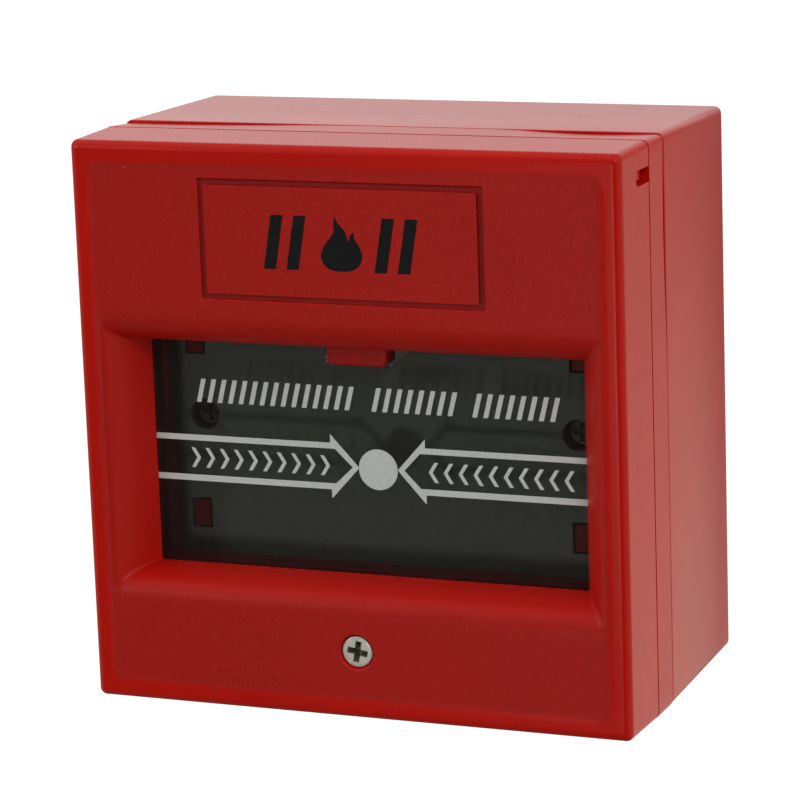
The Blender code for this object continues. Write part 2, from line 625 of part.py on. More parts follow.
def build_all():
    clear_scene()
    red = make_material("red_abs", RED, 0.35)
    red_base = make_material("red_abs_base", RED, 0.38)
    red_box = make_material("red_abs_box", RED, 0.4)
    red_frame = make_material("red_abs_frame", RED, 0.45)
    black_plate = make_material("black_plate", BLACK, 0.3)
    glass = make_material("tinted_glass", (0.05, 0.055, 0.05, 1.0), 0.05, transmission=0.6)
    zinc = make_material("zinc_steel", (0.62, 0.6, 0.55, 1.0), 0.3, 1.0)
    black_steel = make_material("black_steel", (0.04, 0.04, 0.04, 1.0), 0.4, 0.8)
    spring_steel = make_material("spring_steel", (0.55, 0.55, 0.56, 1.0), 0.3, 1.0)
    brass = make_material("brass", (0.7, 0.5, 0.2, 1.0), 0.3, 1.0)
    nylon = make_material("nylon", (0.8, 0.8, 0.76, 1.0), 0.5)
    phenolic = make_material("switch_case", (0.05, 0.045, 0.04, 1.0), 0.5)
    button_mat = make_material("switch_button", (0.5, 0.05, 0.04, 1.0), 0.4)
    block_mat = make_material("terminal_grey", (0.35, 0.36, 0.35, 1.0), 0.5)
    rubber = make_material("rubber", (0.02, 0.02, 0.02, 1.0), 0.7)
    wire_red = make_material("wire_red", (0.5, 0.02, 0.02, 1.0), 0.5)
    wire_black = make_material("wire_black", (0.02, 0.02, 0.02, 1.0), 0.5)

    finish(build_cover(), red)
    screw = finish(build_cover_screw(), zinc)
    set_origin(screw, point(COVER_SCREW_X, SCREW_FACE, COVER_SCREW_Z))
    finish(build_tube("screw_retainer", COVER_SCREW_X, COVER_SCREW_Z, 1.5, 3.2, 2.95, 3.75), nylon)
    finish(build_tube("cover_insert", COVER_SCREW_X, COVER_SCREW_Z, 1.52, 2.1, 5.0, 10.9), brass)
    finish(build_pane(), glass)
    finish(build_pane_frame(), red_frame)
    finish(build_inner_plate(), black_plate)
    finish(build_base(), red_base)
    finish(build_box(), red_box)
    finish(build_grommet(), rubber)
    for side, sign in (("left", -1), ("right", 1)):
        finish(build_guide_screw(side, sign), zinc)
        finish(build_spring(side, sign), spring_steel)
        finish(build_box_screw(side, sign), black_steel)
        finish(build_tube("box_insert_" + side, sign * BOX_SCREW_X, BOX_SCREW_Z, 1.3, 2.1, 21.7, 27.9), brass)

    finish(build_switch_body(), phenolic)
    button = finish(build_button(), button_mat)
    set_origin(button, point(BUTTON_X, BUTTON_CENTRE - BUTTON_R, SWITCH_Z))
    lever = finish(build_lever(), spring_steel)
    set_origin(lever, point(LEVER_PIVOT[0], LEVER_PIVOT[1], SWITCH_Z))
    px, pd = LEVER_PIVOT
    finish(rod("lever_pin", (px, pd, SWITCH_Z - 3.3), (px, pd, SWITCH_Z + 3.3), 0.35, 16), zinc)
    for kind, x in TAB_X.items():
        finish(build_tab(kind, x), brass)
    for index, x in enumerate(SWITCH_SCREW_X, 1):
        finish(build_switch_screw(index, x), zinc)
        finish(build_switch_nut(index, x), zinc)

    finish(build_terminal_block(), block_mat)
    for index, x in enumerate(WAYS_X, 1):
        finish(build_clamp(index, x), brass)
        finish(build_terminal_screw(index, x), zinc)
    finish(build_wire("wire_com", TAB_X["com"], WAYS_X[1]), wire_red)
    finish(build_wire("wire_no", TAB_X["no"], WAYS_X[2]), wire_black)


build_all()
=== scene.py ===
"""Looks of the manual call point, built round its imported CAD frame.

Sizes are millimetres unless a comment says otherwise.  x runs right, z runs up, and a depth is measured
back from the front face of the cover, whose place comes from the CAD cover's own box.
"""

import json
import math

import bmesh
import bpy
from mathutils import Matrix, Vector


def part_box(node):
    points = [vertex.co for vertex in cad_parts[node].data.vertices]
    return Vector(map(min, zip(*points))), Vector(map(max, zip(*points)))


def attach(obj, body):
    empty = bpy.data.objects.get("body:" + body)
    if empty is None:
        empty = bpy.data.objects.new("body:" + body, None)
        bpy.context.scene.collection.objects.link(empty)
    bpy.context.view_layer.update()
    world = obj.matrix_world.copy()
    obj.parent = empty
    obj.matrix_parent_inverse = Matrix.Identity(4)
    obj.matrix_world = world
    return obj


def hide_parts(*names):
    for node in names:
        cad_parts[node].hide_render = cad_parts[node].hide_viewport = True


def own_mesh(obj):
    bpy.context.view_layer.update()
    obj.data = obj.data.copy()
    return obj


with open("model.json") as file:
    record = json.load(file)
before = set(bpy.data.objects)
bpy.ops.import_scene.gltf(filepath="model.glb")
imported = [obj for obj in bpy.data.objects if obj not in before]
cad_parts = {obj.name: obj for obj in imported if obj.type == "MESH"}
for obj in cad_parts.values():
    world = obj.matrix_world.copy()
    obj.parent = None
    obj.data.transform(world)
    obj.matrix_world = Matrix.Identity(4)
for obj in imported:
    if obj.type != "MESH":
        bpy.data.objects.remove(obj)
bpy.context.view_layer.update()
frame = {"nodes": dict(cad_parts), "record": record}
NODES = frame["nodes"]
RECORD = frame["record"]

MM = 0.001
COVER_LOW, COVER_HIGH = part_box("front_cover")
FRONT_Y = COVER_LOW.y


# ---------------------------------------------------------------- driving sizes
# cover
COVER_FRONT_HALF = 42.85
COVER_REAR_HALF = COVER_HIGH.x / MM
COVER_REAR = (COVER_HIGH.y - COVER_LOW.y) / MM
CORNER_R = 1.1               # long outer edges of the cover, the base plate and the box
CORNER_TAPER = 0.6           # how much of the front edge's inset the corner radius loses
EDGE_R = 1.3
RIM_R = 0.06
WALL = 2.1
CAVITY_R = 1.2
CAVITY_DEPTH = (2.6, 13.0)

# face of the cover
FACE_RECESS = 0.09
FACE_HALF = 39.8
FACE_CORNER_R = 3.0
FACE_SLOPE = 0.9             # half width of the soft step between border and face

# window
LIP_X = 34.4
LIP_TOP = 12.1
LIP_BOTTOM = -22.6
LIP_DEPTH = 7.4
LIP_REAR = 7.5
LIP_R = 0.35
SCOOP_SIDE = 5.2
SCOOP_TOP = 5.9
SCOOP_BOTTOM = 5.4
SCOOP_ROUND = 0.9995         # how near the side's ellipse comes to lying flat in the face
SCOOP_SIDE_MIX = (0.45, 0.55)     # shares of ellipse and straight slope in a side's section
SCOOP_POWER = 1.0 / 3.0      # exponent of the curve that the top and bottom follow
SCOOP_R_GROWTH = 0.9         # how much the corner radius grows from lip to face
SCOOP_STEPS = 28
SCOOP_WALL = 1.6
SCOOP_WALL_FRONT = 2.2
SCOOP_WALL_STEPS = 10
WINDOW_CUT = (-0.6, 10.0)    # depths between which the window's cutter runs
LUG_X = (-5.8, 3.7)
LUG_DEPTH = (7.35, 10.8)
LUG_BOTTOM = 9.15
LUG_R = 0.85
LUG_RINGS = ((0.0, 0.35), (0.06, 0.16), (0.2, 0.04), (0.4, 0.0))     # depth behind its front, inset
LUG_TOP = LIP_TOP + 0.6      # the lug is cut off here, inside the surround
LUG_SPARE = 3.0              # its outline is drawn this far above the lip before that
LUG_ROOT_INSET = 0.3
LUG_ROOT_DEPTH = (5.5, LUG_DEPTH[1] - 0.1)
LUG_ROOT_Z = (LIP_TOP + 0.4, LIP_TOP + 1.9)

# label groove
LABEL = (-22.2, 22.2, 19.8, 37.7)
LABEL_MARGIN = 0.1
GROOVE_WIDTH = 1.0
GROOVE_DEPTH = 0.5
GROOVE_R = 0.3
GROOVE_SHADE_DEPTH = (FACE_RECESS + 0.15, 1.2)     # faces between these depths get the groove's painted shade
FORWARD_Y = -0.05            # a face whose normal's y is below this looks forward

# cover screw and its countersink
COVER_SCREW_X, COVER_SCREW_Z = 0.25, -32.6
SCREW_HEAD_R = 2.38
HEAD_PROFILE = ((-0.42, 0.52), (-0.22, 0.535), (-0.09, 0.58), (-0.02, 0.66), (0.0, 0.74),
                (-0.03, 0.82))    # radius past SCREW_HEAD_R, depth
SHANK_PROFILE = ((1.45, 1.85), (1.45, 12.6), (1.0, 13.1))            # radius, depth
WING_TURNS = (-10.0, 80.0)
# rings of one wing of the cross recess: depth, reach, half width
WING_RINGS = ((0.2, 1.68, 0.52), (0.5, 1.66, 0.50), (0.6, 1.60, 0.46), (2.2, 1.0, 0.34))
HEART_PROFILE = ((0.78, 0.2), (0.74, 0.5), (0.35, 1.95), (0.05, 2.2))
RECESS_R = 1.8               # painted shade: darker metal in the recess, within this radius and between these depths
RECESS_DEPTH = (0.66, 3.0)

# slots in the cover's side walls
SLOT_X = (40.0, 42.2, 44.0)  # inner end, end of the sloping front wall, outer end
SLOT_DEPTH = (6.8, 12.8)
SLOT_SLOPE = 0.6
SLOT_Z = (37.1, 39.4)
SLOT_ROUNDING = ((0.0, 0.75), (0.12, 0.40), (0.30, 0.14), (0.60, 0.0))    # height from the end, inset

# pane
PANE_FRONT = (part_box("glass_pane")[0].y - FRONT_Y) / MM
PANE_REAR = (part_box("glass_pane")[1].y - FRONT_Y) / MM
PANE_LOW, PANE_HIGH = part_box("glass_pane")
PANE_EDGE = 0.12
NOTCH_SLOPE = 0.764
NOTCH_GAP = 0.13

# print on the pane and the label panel
PRINT_THICK = 0.03
PRINT_SINK = 0.01            # how far the print's back lies inside what it is printed on
ARROW_MID = -6.4
ARROW_LINES = ((-2.8, -3.7, -1.45), (-9.95, -9.0, -11.36))   # outer edge, inner edge, barb tip
ARROW_EDGE = 35.9
ARROW_SIDES = ({"edge": -ARROW_EDGE, "barb": -5.93, "corner": -5.2, "inner": -2.42, "tip": -1.35},
               {"edge": ARROW_EDGE, "barb": 9.22, "corner": 8.4, "inner": 5.82, "tip": 4.78})
DOT = (1.66, -6.5, 3.1)      # centre x, centre z, radius
HATCH_SPANS = ((-27.5, -0.9), (0.9, 15.0), (16.8, 30.9))
HATCH_Z = (2.3, 5.9)
HATCH_BAR = (0.75, 1.72, 0.9)     # width, pitch, lean
CHEVRON_COUNT = 10
CHEVRON_PITCH = 2.35
CHEVRON_SHAPE = (0.62, 0.95)      # stroke, reach
CHEVRON_ROWS = ((-28.8, -7.85, -4.8, 1), (32.4, -7.95, -4.9, -1))    # first x, low z, high z, direction
MARK_Z = (24.7, 32.7)
MARK_BARS_X = (-12.0, -8.4, 5.4, 9.0)
MARK_BAR = (1.9, 1.4)        # width, lean
FLAME_X = 0.3
FLAME_STEPS = 5              # points that the curve gets between two of the flame's own
# the flame's own points, in heights of the flame
FLAME = ((0.00, 0.00), (0.22, 0.03), (0.36, 0.14), (0.41, 0.30), (0.36, 0.46), (0.27, 0.60), (0.25, 0.72),
         (0.18, 0.66), (0.15, 0.56), (0.08, 0.74), (-0.06, 0.90), (-0.10, 1.00), (-0.14, 0.86), (-0.13, 0.74),
         (-0.22, 0.60), (-0.33, 0.46), (-0.40, 0.30), (-0.36, 0.14), (-0.22, 0.03))

# base plate and box: their outer edges in the CAD, and how the copies differ
BASE_REAR = 19.15
BASE_HALF = 43.05
BASE_CORNER_R = 1.7
BOX_HALF = (43.0, 42.56)     # front, rear
BOX_CORNER_R = 1.5
EDGE_BAND = 0.85             # a corner's vertices lie within this of its radius
EDGE_LEAST = 0.05            # the least distance that one keeps from the corner's centre
RIM_FROM = 42.4
RIM_BAND = 0.05
RIM_FADE = 0.5               # the rim's drop fades in over this distance past RIM_FROM
RIM_STEP = 2.0
RIM_STEPS = 20
TOP_HILLS = ((0.42, -37.0, 36.0), (0.38, 33.0, 17.0))        # drop, centre x, half width
TOP_DROP = 0.06
SIDE_HILL = (0.22, 30.0, 24.0)    # drop, centre z, half width
LUG_FROM = 42.0
LUG_REAR = 12.4
LUG_MID = (SLOT_Z[0] + SLOT_Z[1]) / 2
LUG_NARROW = 0.28
LUG_SHORTEN = 0.34
LUG_INSET = 0.45
FINE_EDGE = 0.06
FINE_ANGLE = 32.0
EDGE_WIDTH = {"back_box": 0.22, "base_plate": 0.06, "pane_frame": 0.2, "inner_plate": 0.15,
              "microswitch_body": 0.3, "terminal_block": 0.25, "cable_grommet": 0.15}

# camera, in degrees and metres
CAMERA_AZIMUTH, CAMERA_ELEVATION, CAMERA_ROLL = 22.2852, 12.7393, -1.9935
CAMERA_TARGET = (0.0004932, -0.0303, 0.0013033)
CAMERA_DISTANCE = 0.533774
CAMERA_LENS, CAMERA_SENSOR = 159.335, 36.0        # millimetres
CAMERA_CLIP = (0.01, 100.0)

# floor and light
FLOOR_HALF, FLOOR_Z = 0.7, -0.32                  # metres
FLOOR_GLOW = 0.75
LIGHT_AIM = (0.0, -0.03, 0.0)                     # metres
AMBIENT = 0.12
BACKDROP = 1.1
FRONT_DARK = (-0.86, -0.55)  # the surroundings fade out between these y directions, towards the camera
FRONT_DIM = 0.14             # what is left of them there
BELOW = (-0.25, 0.10)        # z directions between which the light turns warm towards the ground
PANELS = (
    # direction, cosine where it starts, cosine where it is full, radiance
    ((-0.30, 0.90, 0.32), 0.80, 0.95, 0.74),
    ((0.30, 0.83, -0.57), 0.86, 0.99, 0.72),
    ((1.0, 0.2, 0.05), 0.20, 0.90, 0.47),
    ((-1.0, 0.0, 0.0), 0.20, 0.90, 0.35),
    ((0.0, -0.4, 0.92), 0.20, 0.90, 0.43),
)
LAMPS = (
    # name, direction from the object, distance, diameter, watts
    ("key", (0.51, -0.66, 0.56), 1.1, 0.16, 1.6),
    ("left", (-0.62, -0.72, 0.30), 1.1, 0.30, 1.3),
    ("front", (-0.12, -1.0, -0.19), 1.2, 0.20, 0.9),
)
WARM = (1.0, 0.95, 0.82)
NEUTRAL = (1.0, 1.0, 0.98)


def point(x, depth, z):
    """Place in the frame, in metres, of a point given in millimetres."""
    return Vector((x * MM, FRONT_Y + depth * MM, z * MM))


# ---------------------------------------------------------------- mesh helpers
def new_object(name, bm):
    bmesh.ops.recalc_face_normals(bm, faces=bm.faces)
    mesh = bpy.data.meshes.new(name)
    bm.to_mesh(mesh)
    bm.free()
    obj = bpy.data.objects.new(name, mesh)
    bpy.context.scene.collection.objects.link(obj)
    return obj


def loft(name, rings, closed=False):
    """Skin rings of equally many points; closed joins the last ring to the first."""
    bm = bmesh.new()
    rows = [[bm.verts.new(co) for co in ring] for ring in rings]
    count = len(rows[0])
    pairs = list(zip(rows, rows[1:]))
    if closed:
        pairs.append((rows[-1], rows[0]))
    for low, high in pairs:
        for i in range(count):
            j = (i + 1) % count
            bm.faces.new((low[i], low[j], high[j], high[i]))
    if not closed:
        bm.faces.new(rows[0][::-1])
        bm.faces.new(rows[-1])
    return new_object(name, bm)


def rounded_rect(x0, x1, z0, z1, radius, steps=10):
    """Outline of a rounded rectangle as (x, z) pairs, the same count for any radius."""
    radius = max(radius, 0.02)
    corners = ((x1 - radius, z1 - radius, 0), (x0 + radius, z1 - radius, 90),
               (x0 + radius, z0 + radius, 180), (x1 - radius, z0 + radius, 270))
    outline = []
    for cx, cz, start in corners:
        for k in range(steps + 1):
            ang = math.radians(start + 90.0 * k / steps)
            outline.append((cx + radius * math.cos(ang), cz + radius * math.sin(ang)))
    return outline


def square(half, radius, steps=10):
    return rounded_rect(-half, half, -half, half, radius, steps)


def ring_at(depth, outline):
    return [point(x, depth, z) for x, z in outline]


def prism(name, outline, d0, d1):
    return loft(name, [ring_at(d0, outline), ring_at(d1, outline)])


def box(name, x0, x1, d0, d1, z0, z1):
    return prism(name, [(x0, z0), (x1, z0), (x1, z1), (x0, z1)], d0, d1)


def circle(cx, cz, radius, count=64):
    return [(cx + radius * math.cos(math.tau * i / count),
             cz + radius * math.sin(math.tau * i / count)) for i in range(count)]


def turned(name, cx, cz, profile, count=64):
    """Solid turned about a depth-wise axis through (cx, cz); profile is (radius, depth) pairs."""
    return loft(name, [ring_at(d, circle(cx, cz, max(r, 0.001), count)) for r, d in profile])


def combine(target, tools, operation):
    """Apply EXACT Booleans to target one tool after another and remove the tools."""
    for tool in tools:
        mod = target.modifiers.new(operation.lower(), "BOOLEAN")
        mod.operation = operation
        mod.solver = "EXACT"
        mod.object = tool
        graph = bpy.context.evaluated_depsgraph_get()
        graph.update()
        mesh = bpy.data.meshes.new_from_object(target.evaluated_get(graph))
        target.modifiers.clear()
        target.data = mesh
        bpy.data.objects.remove(tool, do_unlink=True)


def cut(target, *tools):
    combine(target, tools, "DIFFERENCE")


def join(target, *tools):
    combine(target, tools, "UNION")


def shade(obj, angle=30.0):
    """Smooth the curved faces, keep the corners sharp and let the flat faces keep flat normals."""
    obj.data.shade_smooth()
    obj.data.set_sharp_from_angle(angle=math.radians(angle))
    weighted = obj.modifiers.new("weighted_normals", "WEIGHTED_NORMAL")
    weighted.keep_sharp = True
    weighted.weight = 80
    return obj


def weld(obj, distance=2e-6):
    bm = bmesh.new()
    bm.from_mesh(obj.data)
    bmesh.ops.remove_doubles(bm, verts=bm.verts, dist=distance)
    bmesh.ops.dissolve_degenerate(bm, edges=bm.edges, dist=1e-6)
    bmesh.ops.triangulate(bm, faces=[f for f in bm.faces if len(f.verts) > 4])
    bm.to_mesh(obj.data)
    bm.free()


def bevel(obj, width, angle=30.0):
    """Round the sharp edges of obj by width millimetres, and keep its flat faces flat."""
    mod = obj.modifiers.new("edges", "BEVEL")
    mod.width = width * MM
    mod.segments = 2
    mod.limit_method = "ANGLE"
    mod.angle_limit = math.radians(angle)
    mod.use_clamp_overlap = False
    mod.harden_normals = True
    obj.data.shade_smooth()


# ---------------------------------------------------------------- materials
def material(name, color, roughness, metallic=0.0, ior=1.5):
    """A Principled material and its node tree; uniform values sit on the shader's own sockets."""
    mat = bpy.data.materials.new(name)
    mat.use_nodes = True
    shader = mat.node_tree.nodes["Principled BSDF"]
    shader.inputs["Base Color"].default_value = (*color, 1.0)
    shader.inputs["Roughness"].default_value = roughness
    shader.inputs["Metallic"].default_value = metallic
    shader.inputs["IOR"].default_value = ior
    return mat, mat.node_tree, shader


def noise(tree, scale, detail=4.0, roughness=0.55):
    """Noise in object space; scale is in cycles per metre."""
    coords = tree.nodes.new("ShaderNodeTexCoord")
    texture = tree.nodes.new("ShaderNodeTexNoise")
    texture.inputs["Scale"].default_value = scale
    texture.inputs["Detail"].default_value = detail
    texture.inputs["Roughness"].default_value = roughness
    tree.links.new(coords.outputs["Object"], texture.inputs["Vector"])
    return texture.outputs["Fac"]


def spread(tree, source, low, high, to_low, to_high, interpolation="LINEAR"):
    """Map a value from low..high to to_low..to_high, clamped, in a straight line or a smooth step."""
    node = tree.nodes.new("ShaderNodeMapRange")
    node.interpolation_type = interpolation
    for socket, value in zip(("From Min", "From Max", "To Min", "To Max"), (low, high, to_low, to_high)):
        node.inputs[socket].default_value = value
    tree.links.new(source, node.inputs["Value"])
    return node.outputs["Result"]


def math_node(tree, operation, first, second):
    """One sum, difference or product of two values, each a number or a socket."""
    node = tree.nodes.new("ShaderNodeMath")
    node.operation = operation
    for socket, value in zip(node.inputs, (first, second)):
        if isinstance(value, float):
            socket.default_value = value
        else:
            tree.links.new(value, socket)
    return node.outputs[0]


def blend_colors(tree, factor, first, second):
    """Mix two colours, each a colour tuple or a socket, by a factor socket."""
    node = tree.nodes.new("ShaderNodeMix")
    node.data_type = "RGBA"
    tree.links.new(factor, node.inputs["Factor"])
    for socket, value in ((node.inputs[6], first), (node.inputs[7], second)):
        if isinstance(value, tuple):
            socket.default_value = (*value, 1.0)
        else:
            tree.links.new(value, socket)
    return node.outputs[2]


def bump(tree, shader, heights, distance):
    """Feed the shader's normal from a height socket; distance is in metres."""
    node = tree.nodes.new("ShaderNodeBump")
    node.inputs["Strength"].default_value = 1.0
    node.inputs["Distance"].default_value = distance
    tree.links.new(heights, node.inputs["Height"])
    tree.links.new(node.outputs["Normal"], shader.inputs["Normal"])


NOISE_SPAN = (0.3, 0.7)      # where most of a noise texture's values lie
FINE_SPAN = (0.35, 0.65)
DRIFT_SCALE, GLOSS_SCALE = 45.0, 320.0            # all scales are in cycles per metre
SPECK_SCALE, SPECK_PATCH_SCALE = 300.0, 160.0
SPECK_EDGE = (0.018, 0.030)  # distance from a cell's centre, in cells, where a speck ends
SPECK_PATCH = (0.61, 0.64)   # noise values above which specks show
SPECK_COLOR = (0.75, 0.55, 0.5)
SLOPE_Y = (-0.98, -0.70)     # y of the normal between which a face turns into a slope and gets painted light
# how much of the painted light a full slope gets
PAINTED_LIGHT_SHARE = 0.85
TINT_SCALE, SCRATCH_SCALE = 900.0, 5200.0
SCRATCH_DEPTH = 2.0e-6
PANE_CLEAR = (0.80, 0.82, 0.79)
PANE_HAZE = (0.48, 0.49, 0.50)
SMEAR_SCALE, SMEAR_SPAN, SMEAR_ROUGHNESS = 60.0, (0.4, 0.75), (0.02, 0.10)
DUST_SCALE, DUST_SPAN, DUST_SHARE = 520.0, (0.35, 0.8), (0.010, 0.026)


def add_painted_slope_light(tree, tone, slope):
    """Painted light: blend tone into a lighter colour where the surface slopes away from the front."""
    coords = tree.nodes.new("ShaderNodeTexCoord")
    split = tree.nodes.new("ShaderNodeSeparateXYZ")
    tree.links.new(coords.outputs["Normal"], split.inputs["Vector"])
    return blend_colors(tree, spread(tree, split.outputs["Y"], *SLOPE_Y, 0.0, PAINTED_LIGHT_SHARE), tone, slope)


def add_specks(tree, tone, strength):
    """Scatter pale dust specks over tone, in patches."""
    dots = tree.nodes.new("ShaderNodeTexVoronoi")
    dots.inputs["Scale"].default_value = SPECK_SCALE
    coords = tree.nodes.new("ShaderNodeTexCoord")
    tree.links.new(coords.outputs["Object"], dots.inputs["Vector"])
    near = spread(tree, dots.outputs["Distance"], *SPECK_EDGE, 1.0, 0.0)
    patch = spread(tree, noise(tree, SPECK_PATCH_SCALE, 1.0), *SPECK_PATCH, 0.0, strength)
    return blend_colors(tree, math_node(tree, "MULTIPLY", near, patch), tone, SPECK_COLOR)


def moulded(name, color, roughness, grain=0.0, grain_scale=2600.0, variation=0.06, specks=0.0,
            slope=None, ior=1.5):
    """Moulded plastic: slow colour drift, patchy gloss, fine grain, a few dust specks, and
    optionally painted light, a lighter colour where the surface slopes away from the front."""
    mat, tree, shader = material(name, color, roughness, ior=ior)
    drift = spread(tree, noise(tree, DRIFT_SCALE, 3.0), *NOISE_SPAN, 0.0, 1.0)
    darker = tuple(c * (1.0 - variation) for c in color)
    lighter = tuple(min(1.0, c * (1.0 + variation)) for c in color)
    tone = blend_colors(tree, drift, darker, lighter)
    if grain:
        fine = spread(tree, noise(tree, grain_scale, 2.0), *FINE_SPAN, 0.0, 1.0)
        pale = tuple(min(1.0, c * (1.0 + 1.6 * variation) + 0.004) for c in color)
        tone = blend_colors(tree, fine, tone, pale)
    # painted light: a lighter colour on faces that turn away from the front
    if slope:
        tone = add_painted_slope_light(tree, tone, slope)
    if specks:
        tone = add_specks(tree, tone, specks)
    tree.links.new(tone, shader.inputs["Base Color"])
    gloss = spread(tree, noise(tree, GLOSS_SCALE, 3.0), *NOISE_SPAN, roughness * 0.96, roughness * 1.04)
    tree.links.new(gloss, shader.inputs["Roughness"])
    if grain:
        bump(tree, shader, noise(tree, grain_scale, 2.0), grain)
    return mat


def plated(name, color, roughness, metallic=1.0):
    """Plated or drawn metal with fine scratches and a patchy sheen."""
    mat, tree, shader = material(name, color, roughness, metallic=metallic)
    tint = spread(tree, noise(tree, TINT_SCALE, 3.0), *NOISE_SPAN, 0.0, 1.0)
    darker = tuple(c * 0.82 for c in color)
    tree.links.new(blend_colors(tree, tint, darker, color), shader.inputs["Base Color"])
    scratch = noise(tree, SCRATCH_SCALE, 3.0, 0.6)
    gloss = spread(tree, scratch, *NOISE_SPAN, roughness * 0.7, roughness * 1.35)
    tree.links.new(gloss, shader.inputs["Roughness"])
    bump(tree, shader, scratch, SCRATCH_DEPTH)
    return mat


def tinted_glass(name):
    """Smoky pane: lets tinted light straight through and mirrors what is round it."""
    mat = bpy.data.materials.new(name)
    mat.use_nodes = True
    tree = mat.node_tree
    tree.nodes.clear()
    output = tree.nodes.new("ShaderNodeOutputMaterial")
    clear = tree.nodes.new("ShaderNodeBsdfTransparent")
    clear.inputs["Color"].default_value = (*PANE_CLEAR, 1.0)
    glossy = tree.nodes.new("ShaderNodeBsdfGlossy")
    glossy.inputs["Color"].default_value = (1.0, 1.0, 1.0, 1.0)
    smear = spread(tree, noise(tree, SMEAR_SCALE, 3.0), *SMEAR_SPAN, *SMEAR_ROUGHNESS)
    tree.links.new(smear, glossy.inputs["Roughness"])
    fresnel = tree.nodes.new("ShaderNodeFresnel")
    fresnel.inputs["IOR"].default_value = 1.5
    mixed = tree.nodes.new("ShaderNodeMixShader")
    tree.links.new(fresnel.outputs["Fac"], mixed.inputs["Fac"])
    tree.links.new(clear.outputs["BSDF"], mixed.inputs[1])
    tree.links.new(glossy.outputs["BSDF"], mixed.inputs[2])
    haze = tree.nodes.new("ShaderNodeBsdfDiffuse")
    haze.inputs["Color"].default_value = (*PANE_HAZE, 1.0)
    dusty = tree.nodes.new("ShaderNodeMixShader")
    dust = spread(tree, noise(tree, DUST_SCALE, 5.0, 0.7), *DUST_SPAN, *DUST_SHARE)
    tree.links.new(dust, dusty.inputs["Fac"])
    tree.links.new(mixed.outputs["Shader"], dusty.inputs[1])
    tree.links.new(haze.outputs["BSDF"], dusty.inputs[2])
    tree.links.new(dusty.outputs["Shader"], output.inputs["Surface"])
    return mat


RED = (0.69, 0.0090, 0.0035)
RED_DULL = (0.51, 0.0080, 0.0035)
# painted light: lighter red for faces that turn away from the front
RED_SLOPE_PAINTED_LIGHT = (0.66, 0.0080, 0.0030)
# painted shade: darker red for the label groove's faces
GROOVE_SHADE_RED = (0.37, 0.0060, 0.0035)
RED_IOR = 1.33               # low, so the face stays deep red and the grazing sides turn pink

MATERIALS = {
    "red_abs_cover": moulded("red_cover", RED, 0.27, specks=0.5, ior=RED_IOR),
    "red_abs_base": moulded("red_base", RED, 0.27, specks=0.5, ior=RED_IOR),
    "red_abs_box": moulded("red_box", RED, 0.25, specks=0.7, ior=1.38),
    "tinted_pane": tinted_glass("smoky_pane"),
    "red_abs_frame": moulded("red_frame", (0.44, 0.006, 0.003), 0.4, grain=4.0e-6, grain_scale=1800.0),
    "black_plate": moulded("black_plate", (0.46, 0.47, 0.46), 0.5, grain=3.0e-6, grain_scale=1500.0),
    "plated_steel": plated("plated_steel", (0.95, 0.93, 0.81), 0.40, metallic=0.42),
    "black_steel": plated("black_steel", (0.22, 0.16, 0.15), 0.42, metallic=0.3),
    "spring_steel": plated("spring_steel", (0.55, 0.55, 0.56), 0.3),
    "brass": plated("brass", (0.75, 0.53, 0.22), 0.3),
    "nylon": moulded("nylon", (0.74, 0.73, 0.66), 0.45),
    "switch_case": moulded("switch_case", (0.035, 0.030, 0.027), 0.5, grain=5.0e-6),
    "switch_button": moulded("switch_button", (0.42, 0.03, 0.02), 0.4),
    "terminal_grey": moulded("terminal_grey", (0.30, 0.31, 0.30), 0.45, grain=4.0e-6),
    "rubber": moulded("rubber", (0.018, 0.018, 0.018), 0.75, grain=8.0e-6),
    "wire_red": moulded("wire_red", (0.46, 0.02, 0.02), 0.45),
    "wire_black": moulded("wire_black", (0.02, 0.02, 0.02), 0.45),
}
# face and window surround; its slope colour paints light on faces that turn away from the front
RED_FACE = moulded("red_face", RED_DULL, 0.40, grain=7.0e-6, grain_scale=2400.0, variation=0.10, specks=0.6,
                   slope=RED_SLOPE_PAINTED_LIGHT, ior=RED_IOR)
# painted shade for the label groove
PAINTED_GROOVE_SHADE = moulded("red_painted_groove_shade", GROOVE_SHADE_RED, 0.45, grain=7.0e-6, grain_scale=2400.0, variation=0.10,
                     ior=RED_IOR)
WHITE_INK = moulded("white_ink", (0.76, 0.81, 0.80), 0.5, grain=1.0e-6)
# painted shade: darker metal for the screw's cross recess
PAINTED_RECESS_SHADE = plated("recess_painted_shade", (0.34, 0.31, 0.23), 0.5, metallic=0.7)
BLACK_INK = moulded("black_ink", (0.004, 0.005, 0.005), 0.6, grain=3.0e-6, grain_scale=2400.0, ior=1.3)


# ---------------------------------------------------------------- front cover
def scoop_rings(offset, d_start, d_end, steps):
    """Rings of the window surround, from lip to face.

    The sides mix a quarter ellipse and a straight slope, and the top and bottom follow a power curve.
    """
    full = 1.0 - math.sqrt(1.0 - SCOOP_ROUND ** 2)
    rings = []
    for k in range(steps + 1):
        u = math.sin(math.pi / 2 * k / steps)
        depth = d_end - (d_end - d_start) * u
        ease = (1.0 - math.sqrt(max(0.0, 1.0 - (u * SCOOP_ROUND) ** 2))) / full
        side = SCOOP_SIDE * (SCOOP_SIDE_MIX[0] * ease + SCOOP_SIDE_MIX[1] * u)
        soft = 1.0 - (1.0 - u * u) ** SCOOP_POWER
        rings.append((depth, rounded_rect(
            -LIP_X - side - offset, LIP_X + side + offset,
            LIP_BOTTOM - SCOOP_BOTTOM * soft - offset,
            LIP_TOP + SCOOP_TOP * soft + offset, LIP_R + SCOOP_R_GROWTH * ease + 0.5 * offset, 8)))
    return rings


